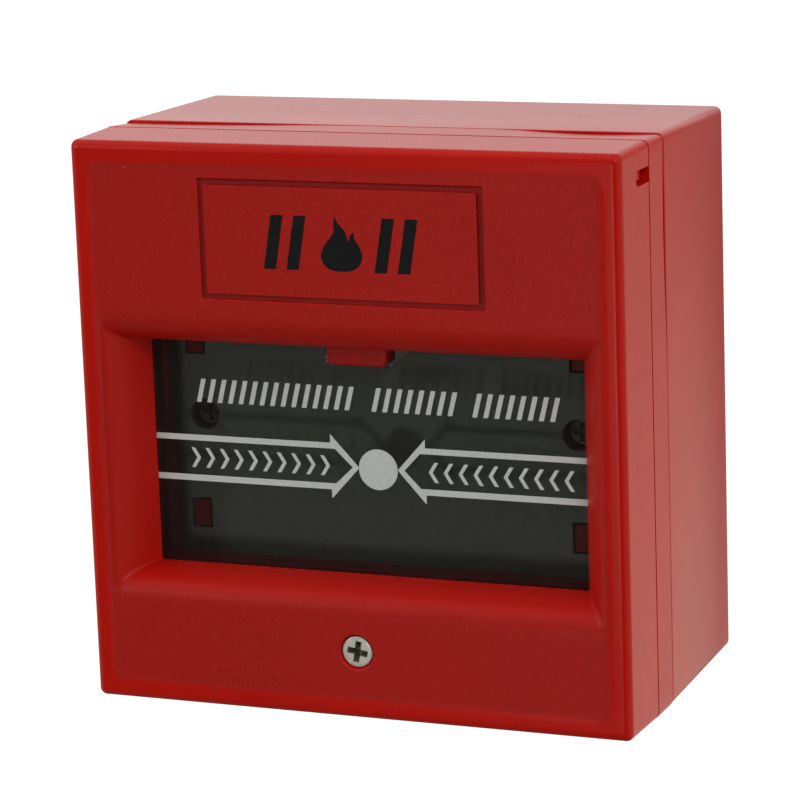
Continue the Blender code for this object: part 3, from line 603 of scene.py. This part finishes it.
def cover_shell():
    """Outside of the cover: draft, rounded front edge and a small rim radius at the seam."""
    rings = []
    steps = 12
    for k in range(steps + 1):
        ang = math.pi / 2 * k / steps
        inset = EDGE_R * (1 - math.sin(ang))
        outline = square(COVER_FRONT_HALF - inset, CORNER_R - CORNER_TAPER * inset)
        rings.append(ring_at(EDGE_R * (1 - math.cos(ang)), outline))
    for k in range(4):
        ang = math.pi / 2 * k / 3
        inset = RIM_R * (1 - math.cos(ang))
        outline = square(COVER_REAR_HALF - inset, CORNER_R - inset)
        rings.append(ring_at(COVER_REAR - RIM_R * (1 - math.sin(ang)), outline))
    return loft("cover_red", rings)


def face_cutter():
    """Shallow face recess whose edge is a soft S-shaped step."""
    rings = [ring_at(-1.0, square(FACE_HALF + FACE_SLOPE, FACE_CORNER_R + FACE_SLOPE))]
    steps = 8
    for k in range(steps + 1):
        t = k / steps
        depth = FACE_RECESS * t * t * (3 - 2 * t)
        out = FACE_SLOPE * (1 - 2 * t)
        lift = 0.002 if k == 0 else 0.0
        rings.append(ring_at(depth - lift, square(FACE_HALF + out, FACE_CORNER_R + out)))
    return loft("face_cutter", rings)


def groove_cutter(x0, x1, z0, z1):
    """Rectangular ring groove round the label, with lightly broken edges."""
    def ring(depth, inset):
        return ring_at(depth, rounded_rect(x0 + inset, x1 - inset, z0 + inset, z1 - inset, GROOVE_R, 4))

    top, floor = FACE_RECESS - 0.3, FACE_RECESS + GROOVE_DEPTH
    levels = ((top, 0.42), (FACE_RECESS, 0.12), (FACE_RECESS + 0.1, 0.02),
              (floor - 0.1, -0.02), (floor, -0.12))
    outside = [ring(depth, -flare) for depth, flare in levels]
    inside = [ring(depth, GROOVE_WIDTH - flare) for depth, flare in reversed(levels)]
    return loft("groove_cutter", outside + inside, closed=True)


def side_slot_cutter(sign):
    """Slot through the side wall at a top corner, with a sloping front wall."""
    inner, bend, outer = (sign * x for x in SLOT_X)
    front, rear = SLOT_DEPTH
    levels = [(SLOT_Z[0] + up, inset) for up, inset in SLOT_ROUNDING]
    levels += [(SLOT_Z[1] - up, inset) for up, inset in reversed(SLOT_ROUNDING)]
    rings = []
    for z, inset in levels:
        front_wall = [(inner, front + SLOT_SLOPE + inset), (bend, front + inset), (outer, front + inset)]
        rings.append([point(x, depth, z) for x, depth in front_wall + [(outer, rear), (inner, rear)]])
    return loft("slot_cutter", rings)


def lug():
    """Tab that hangs from the window's top edge, with rounded lower corners and front edges."""
    x0, x1 = LUG_X
    rings = []
    for depth, inset in [(LUG_DEPTH[0] + back, inset) for back, inset in LUG_RINGS] + [(LUG_DEPTH[1], 0.0)]:
        outline = rounded_rect(x0 + inset, x1 - inset, LUG_BOTTOM + inset, LIP_TOP + LUG_SPARE, LUG_R, 8)
        rings.append(ring_at(depth, [(x, min(z, LUG_TOP)) for x, z in outline]))
    return loft("lug", rings)


def countersink():
    """Cutter for the cover screw's seat, turned from (radius, depth) pairs, with a rolled edge."""
    r = SCREW_HEAD_R
    profile = [(r + 0.8, -0.4), (r + 0.62, FACE_RECESS - 0.02), (r + 0.42, FACE_RECESS + 0.06),
               (r + 0.30, FACE_RECESS + 0.2), (r + 0.2, 0.75), (r + 0.17, 0.85), (1.65, 1.85), (1.65, 3.4)]
    return turned("countersink", COVER_SCREW_X, COVER_SCREW_Z, profile)


def build_cover():
    """Front cover: shell, window surround, recessed face, lug, label groove, screw seat and side slots."""
    cover = cover_shell()
    inner = COVER_REAR_HALF - WALL
    cut(cover, prism("cavity", square(inner, CAVITY_R, 4), *CAVITY_DEPTH))
    surround = scoop_rings(SCOOP_WALL, SCOOP_WALL_FRONT, LIP_REAR, SCOOP_WALL_STEPS)
    join(cover, loft("surround", [ring_at(depth, outline) for depth, outline in surround]))
    cut(cover, face_cutter())
    opening = rounded_rect(-LIP_X, LIP_X, LIP_BOTTOM, LIP_TOP, LIP_R, 8)
    rings = scoop_rings(0.0, FACE_RECESS, LIP_DEPTH, SCOOP_STEPS)
    sections = [(WINDOW_CUT[1], opening), *rings, (WINDOW_CUT[0], rings[-1][1])]
    cut(cover, loft("scoop", [ring_at(depth, outline) for depth, outline in sections]))
    join(cover, box("lug_root", LUG_X[0] + LUG_ROOT_INSET, LUG_X[1] - LUG_ROOT_INSET,
                    *LUG_ROOT_DEPTH, *LUG_ROOT_Z))
    join(cover, lug())
    cut(cover, groove_cutter(*LABEL))
    cut(cover, countersink())
    for sign in (-1, 1):
        cut(cover, side_slot_cutter(sign))
    weld(cover)
    paint_cover(cover)
    return shade(cover)


def paint_cover(cover):
    """Glossy plastic outside, duller plastic on the face and in the window with painted light on its slopes,
    and painted shade, a darker red, in the groove.
    """
    cover.data.materials.clear()
    for mat in (MATERIALS["red_abs_cover"], RED_FACE, PAINTED_GROOVE_SHADE):
        cover.data.materials.append(mat)
    x0, x1, z0, z1 = LABEL
    for face in cover.data.polygons:
        x, z, depth = face.center.x / MM, face.center.z / MM, (face.center.y - FRONT_Y) / MM
        in_label = x0 - LABEL_MARGIN < x < x1 + LABEL_MARGIN and z0 - LABEL_MARGIN < z < z1 + LABEL_MARGIN
        looks_forward = face.normal.y <= FORWARD_Y
        if max(abs(x), abs(z)) > FACE_HALF or depth > LIP_DEPTH + 0.1 or not (looks_forward or in_label):
            continue
        # the groove's faces get painted shade
        in_groove_shade = in_label and GROOVE_SHADE_DEPTH[0] < depth < GROOVE_SHADE_DEPTH[1]
        face.material_index = 2 if in_groove_shade else 1


# ---------------------------------------------------------------- pane and print
def build_pane():
    """Flat pane, notched round the lug, with lightly broken edges."""
    left, right = PANE_LOW.x / MM, PANE_HIGH.x / MM
    bottom, top = PANE_LOW.z / MM, PANE_HIGH.z / MM
    floor = LUG_BOTTOM - NOTCH_GAP
    notch_left, notch_right = LUG_X[0] - NOTCH_GAP, LUG_X[1] + NOTCH_GAP
    slope_end = notch_right + (top - floor) / NOTCH_SLOPE
    outline = [(left, bottom), (right, bottom), (right, top), (slope_end, top), (notch_right, floor),
               (notch_left, floor), (notch_left, top), (left, top)]
    pane = prism("pane_glass", outline, PANE_FRONT, PANE_REAR)
    bevel(pane, PANE_EDGE)
    return pane


def arrow(side):
    """Outline of one open arrow: two lines from the pane's edge, their barbs and the point they meet in."""
    upper, lower = ([(side["edge"], outer), (side["barb"], outer), (side["barb"], barb),
                     (side["tip"], ARROW_MID), (side["inner"], ARROW_MID), (side["corner"], inner),
                     (side["edge"], inner)] for outer, inner, barb in ARROW_LINES)
    return upper[:4] + lower[2::-1] + lower[:4:-1] + upper[4:]


def slanted_bar(x, z_low, z_high, width, lean):
    """Outline of an upright bar whose top is shifted by lean."""
    return [(x, z_low), (x + width, z_low), (x + width + lean, z_high), (x + lean, z_high)]


def hatch(x_start, x_end, z_low, z_high, width, pitch, lean):
    """Slanted bars that fill a band from x_start to x_end."""
    bars = []
    x = x_start
    while x + width + lean <= x_end + 0.01:
        bars.append(slanted_bar(x, z_low, z_high, width, lean))
        x += pitch
    return bars


def chevron(x, z_low, z_high, stroke, reach, direction):
    """Outline of a V that lies on its side and points along direction, +1 or -1 in x."""
    mid = (z_low + z_high) / 2
    return [(x, z_high), (x + direction * reach, mid), (x, z_low), (x + direction * stroke, z_low),
            (x + direction * (reach + stroke), mid), (x + direction * stroke, z_high)]


def add_outlines(name, outlines, d0, d1):
    """One piece made of separate closed plates, one for each outline."""
    bm = bmesh.new()
    for outline in outlines:
        front = [bm.verts.new(co) for co in ring_at(d0, outline)]
        back = [bm.verts.new(co) for co in ring_at(d1, outline)]
        count = len(outline)
        for i in range(count):
            j = (i + 1) % count
            bm.faces.new((front[i], front[j], back[j], back[i]))
        bm.faces.new(front[::-1])
        bm.faces.new(back)
    bm.normal_update()
    bmesh.ops.triangulate(bm, faces=[f for f in bm.faces if len(f.verts) > 4])
    return new_object(name, bm)


def build_pane_print():
    """White generic marks: two arrows that point at a dot, a hatched band and rows of chevrons."""
    outlines = [circle(*DOT)]
    outlines += [arrow(side) for side in ARROW_SIDES]
    for start, end in HATCH_SPANS:
        outlines += hatch(start, end, *HATCH_Z, *HATCH_BAR)
    for k in range(CHEVRON_COUNT):
        for start, low, high, direction in CHEVRON_ROWS:
            x = start + direction * CHEVRON_PITCH * k
            outlines.append(chevron(x, low, high, *CHEVRON_SHAPE, direction))
    return add_outlines("pane_print", outlines, PANE_FRONT - PRINT_THICK, PANE_FRONT + PRINT_SINK)


def curve_through(before, start, end, after, t):
    """Catmull-Rom curve from start (t = 0) to end (t = 1), one coordinate at a time."""
    return 0.5 * (2 * start + (end - before) * t + (2 * before - 5 * start + 4 * end - after) * t * t
                  + (3 * start - before - 3 * end + after) * t ** 3)


def flame(cx, z_low, height):
    """Outline of a plain flame: a leaning drop with one side tongue."""
    outline = []
    count = len(FLAME)
    for i in range(count):
        near = [FLAME[(i + step) % count] for step in (-1, 0, 1, 2)]
        for k in range(FLAME_STEPS):
            x, z = (curve_through(*axis, k / FLAME_STEPS) for axis in zip(*near))
            outline.append((cx + x * height, z_low + z * height))
    return outline


def build_label_mark():
    """Black generic mark on the label panel: a flame between bold slanted bars."""
    low, high = MARK_Z
    outlines = [flame(FLAME_X, low, high - low)]
    outlines += [slanted_bar(x, low, high, *MARK_BAR) for x in MARK_BARS_X]
    return add_outlines("label_mark", outlines, FACE_RECESS - PRINT_THICK, FACE_RECESS + PRINT_SINK)


# ---------------------------------------------------------------- cover screw
def build_cover_screw():
    """Countersunk screw with a rounded rim and a cross recess with tapered wings."""
    x, z = COVER_SCREW_X, COVER_SCREW_Z
    head = [(SCREW_HEAD_R + past, depth) for past, depth in HEAD_PROFILE]
    screw = turned("screw_cover", x, z, head + list(SHANK_PROFILE))
    for turn in WING_TURNS:
        ang = math.radians(turn)
        ux, uz = math.cos(ang), math.sin(ang)
        rings = []
        for depth, length, width in WING_RINGS:
            outline = [(x + a * length * ux - b * width * uz, z + a * length * uz + b * width * ux)
                       for a, b in ((-1, -1), (1, -1), (1, 1), (-1, 1))]
            rings.append(ring_at(depth, outline))
        cut(screw, loft("wing", rings))
    cut(screw, turned("heart", x, z, HEART_PROFILE, 16))
    weld(screw)
    screw.data.materials.clear()
    screw.data.materials.append(MATERIALS["plated_steel"])
    # the cross recess gets darker metal as painted shade
    screw.data.materials.append(PAINTED_RECESS_SHADE)
    for face in screw.data.polygons:
        near = math.hypot(face.center.x / MM - x, face.center.z / MM - z) < RECESS_R
        if near and RECESS_DEPTH[0] < (face.center.y - FRONT_Y) / MM < RECESS_DEPTH[1]:
            face.material_index = 1
    return shade(screw, 25.0)


# ---------------------------------------------------------------- refined copies
def cad_copy(node, name):
    """A free copy of a CAD node's mesh, its split corners welded and its flat faces merged."""
    source = NODES[node].data
    bm = bmesh.new()
    verts = [bm.verts.new(v.co) for v in source.vertices]
    for polygon in source.polygons:
        bm.faces.new([verts[i] for i in polygon.vertices])
    bmesh.ops.remove_doubles(bm, verts=bm.verts, dist=2e-6)
    bmesh.ops.dissolve_limit(bm, angle_limit=math.radians(0.8), verts=bm.verts, edges=bm.edges)
    return new_object(name, bm)


SLOT_OF = {part["node"]: part["material_slot"] for part in RECORD["subparts"]}
BODY_OF = {node: body for body, members in RECORD["behaviour"]["bodies"].items() for node in members}


def place(piece, node, body=None):
    """Let a new piece stand for a CAD node, which is hidden: same body unless one is given."""
    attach(piece, body or BODY_OF[node])
    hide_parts(node)


def tighten_corners(piece, half_front, half_rear, radius):
    """Give the four long outer edges the radius CORNER_R in place of their CAD radius.

    half_front and half_rear are the CAD half widths at the piece's front and rear.
    """
    shift = radius - CORNER_R
    low, high = min(v.co.y for v in piece.data.vertices), max(v.co.y for v in piece.data.vertices)
    for vert in piece.data.vertices:
        x, z = vert.co.x / MM, vert.co.z / MM
        centre = half_front + (half_rear - half_front) * (vert.co.y - low) / (high - low) - radius
        away = Vector((abs(x) - centre, abs(z) - centre))
        if min(away) < -0.001 or away.length < radius - EDGE_BAND:
            continue
        away = away.normalized() * max(EDGE_LEAST, away.length - shift)
        vert.co.x = math.copysign(centre + shift + away.x, x) * MM
        vert.co.z = math.copysign(centre + shift + away.y, z) * MM


def hill(x, centre, half_width):
    """Smooth hill of height 1 that falls to 0 over half_width on both sides of centre."""
    t = max(0.0, 1.0 - abs(x - centre) / half_width)
    return t * t * (3.0 - 2.0 * t)


def divide_rim(bm):
    """Cut the faces along the base's rear rim every RIM_STEP, so that the rim can bend."""
    for axis in ((1.0, 0.0, 0.0), (0.0, 0.0, 1.0)):
        for step in range(-RIM_STEPS, RIM_STEPS + 1):
            faces = [f for f in bm.faces
                     if max(v.co.y for v in f.verts) > FRONT_Y + (BASE_REAR - RIM_BAND) * MM
                     and max(max(v.co.x, v.co.z) for v in f.verts) > RIM_FROM * MM]
            edges = {edge for face in faces for edge in face.edges}
            verts = {vert for face in faces for vert in face.verts}
            bmesh.ops.bisect_plane(bm, geom=faces + list(edges) + list(verts), dist=1e-6,
                                   plane_co=Vector(axis) * (step * RIM_STEP * MM), plane_no=axis)


def warp_base(piece):
    """Let the base's rear edge sink a little below the back box, most near the corners, as moulded,
    and taper the side lugs inside their slots."""
    bm = bmesh.new()
    bm.from_mesh(piece.data)
    divide_rim(bm)
    drop, side_centre, side_width = SIDE_HILL
    for vert in bm.verts:
        x, depth, z = vert.co.x / MM, (vert.co.y - FRONT_Y) / MM, vert.co.z / MM
        if BASE_REAR - RIM_BAND < depth < BASE_REAR + RIM_BAND:
            if z > RIM_FROM:
                sink = sum(height * hill(x, centre, width) for height, centre, width in TOP_HILLS) + TOP_DROP
                vert.co.z -= sink * min(1.0, (z - RIM_FROM) / RIM_FADE) * MM
            if x > RIM_FROM:
                sink = drop * hill(z, side_centre, side_width)
                vert.co.x -= sink * min(1.0, (x - RIM_FROM) / RIM_FADE) * MM
        elif abs(x) > LUG_FROM and depth < LUG_REAR:
            vert.co.z += (LUG_MID - z) * LUG_NARROW * MM
            vert.co.y += max(0.0, LUG_REAR - 1.0 - depth) * LUG_SHORTEN * MM
            vert.co.x -= math.copysign(LUG_INSET, x) * MM
    bm.to_mesh(piece.data)
    bm.free()


def squash_spring(piece):
    """Give a frame spring a mesh of its own."""
    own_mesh(piece)


def refine(node):
    """A copy of a CAD node with its own small bevels and material, in the node's place."""
    piece = cad_copy(node, node + "_fine")
    if node == "back_box":
        tighten_corners(piece, *BOX_HALF, BOX_CORNER_R)
    if node == "base_plate":
        tighten_corners(piece, BASE_HALF, BASE_HALF, BASE_CORNER_R)
        warp_base(piece)
    piece.data.materials.append(MATERIALS[SLOT_OF[node]])
    bevel(piece, EDGE_WIDTH.get(node, FINE_EDGE), FINE_ANGLE)
    place(piece, node)
    if node.startswith("frame_spring"):
        squash_spring(piece)


def build_object():
    """The pieces built anew with their print, then a refined copy of every other CAD node."""
    cover = build_cover()
    place(cover, "front_cover")
    mark = build_label_mark()
    mark.data.materials.append(BLACK_INK)
    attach(mark, "cover")

    pane = build_pane()
    pane.data.materials.append(MATERIALS["tinted_pane"])
    place(pane, "glass_pane")
    ink = build_pane_print()
    ink.data.materials.append(WHITE_INK)
    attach(ink, "pane")

    place(build_cover_screw(), "cover_screw")
    for node in sorted(set(NODES) - {"front_cover", "glass_pane", "cover_screw"}):
        refine(node)


# ---------------------------------------------------------------- stage
def build_camera():
    """Camera that looks at CAMERA_TARGET from its azimuth and elevation, rolled about its own axis."""
    azimuth, elevation, roll = (math.radians(a) for a in (CAMERA_AZIMUTH, CAMERA_ELEVATION, CAMERA_ROLL))
    back = Vector((math.sin(azimuth) * math.cos(elevation), -math.cos(azimuth) * math.cos(elevation),
                   math.sin(elevation)))
    right = (-back).cross(Vector((0, 0, 1))).normalized()
    up = right.cross(-back)
    cam_x = right * math.cos(roll) + up * math.sin(roll)
    cam_y = up * math.cos(roll) - right * math.sin(roll)
    data = bpy.data.cameras.new("camera")
    data.lens = CAMERA_LENS
    data.sensor_width = CAMERA_SENSOR
    data.clip_start, data.clip_end = CAMERA_CLIP
    camera = bpy.data.objects.new("camera", data)
    position = Matrix.Translation(Vector(CAMERA_TARGET) + back * CAMERA_DISTANCE)
    camera.matrix_world = position @ Matrix((cam_x, cam_y, back)).transposed().to_4x4()
    bpy.context.scene.collection.objects.link(camera)
    bpy.context.scene.camera = camera


def build_floor():
    """Plain, evenly lit floor below the object, kept out of reflections, bounced light and shadows."""
    bm = bmesh.new()
    corners = [bm.verts.new((x * FLOOR_HALF, y * FLOOR_HALF, FLOOR_Z))
               for x, y in ((-1, -1), (1, -1), (1, 1), (-1, 1))]
    bm.faces.new(corners)
    floor = new_object("floor", bm)
    mat, tree, shader = material("pale_floor", (0.9, 0.9, 0.9), 0.9)
    shader.inputs["Emission Color"].default_value = (1.0, 1.0, 1.0, 1.0)
    shader.inputs["Emission Strength"].default_value = FLOOR_GLOW
    tone = blend_colors(tree, noise(tree, 3.0), (0.88, 0.88, 0.88), (0.92, 0.92, 0.92))
    tree.links.new(tone, shader.inputs["Base Color"])
    floor.data.materials.append(mat)
    floor.visible_diffuse = False
    floor.visible_glossy = False
    floor.visible_shadow = False


def area_light(name, direction, distance, size, power):
    """Soft light that looks at the object from a direction; power is in watts."""
    data = bpy.data.lights.new(name, "AREA")
    data.shape = "DISK"
    data.size = size
    data.energy = power
    light = bpy.data.objects.new(name, data)
    toward = Vector(direction).normalized()
    light.location = Vector(LIGHT_AIM) + toward * distance
    light.rotation_mode = "QUATERNION"
    light.rotation_quaternion = toward.to_track_quat("Z", "Y")
    bpy.context.scene.collection.objects.link(light)


def build_world():
    """A white backdrop, soft panels round the object, and dim surroundings towards the camera."""
    world = bpy.data.worlds.new("studio")
    bpy.context.scene.world = world
    world.use_nodes = True
    tree = world.node_tree
    background = tree.nodes["Background"]
    coords = tree.nodes.new("ShaderNodeTexCoord")
    direction = coords.outputs["Generated"]
    total = None
    for axis, start, end, radiance in PANELS:
        dot = tree.nodes.new("ShaderNodeVectorMath")
        dot.operation = "DOT_PRODUCT"
        tree.links.new(direction, dot.inputs[0])
        dot.inputs[1].default_value = Vector(axis).normalized()
        panel = spread(tree, dot.outputs["Value"], start, end, 0.0, radiance, "SMOOTHSTEP")
        total = math_node(tree, "ADD", panel, AMBIENT if total is None else total)
    split = tree.nodes.new("ShaderNodeSeparateXYZ")
    tree.links.new(direction, split.inputs["Vector"])
    fade = spread(tree, split.outputs["Y"], *FRONT_DARK, FRONT_DIM, 1.0, "SMOOTHSTEP")
    lit = math_node(tree, "MULTIPLY", total, fade)
    path = tree.nodes.new("ShaderNodeLightPath")
    hidden = math_node(tree, "SUBTRACT", 1.0, path.outputs["Is Camera Ray"])
    shown = tree.nodes.new("ShaderNodeMix")
    shown.data_type = "FLOAT"
    tree.links.new(path.outputs["Is Camera Ray"], shown.inputs[0])
    tree.links.new(lit, shown.inputs[2])
    shown.inputs[3].default_value = BACKDROP
    below = spread(tree, split.outputs["Z"], *BELOW, 1.0, 0.0, "SMOOTHSTEP")
    tint = blend_colors(tree, math_node(tree, "MULTIPLY", below, hidden), NEUTRAL, WARM)
    tree.links.new(tint, background.inputs["Color"])
    tree.links.new(shown.outputs[0], background.inputs["Strength"])


def build_stage():
    """Camera, floor, surroundings and lamps, with plain sRGB colours."""
    bpy.context.scene.view_settings.view_transform = "Standard"
    build_camera()
    build_floor()
    build_world()
    for lamp in LAMPS:
        area_light(*lamp)


build_object()
build_stage()
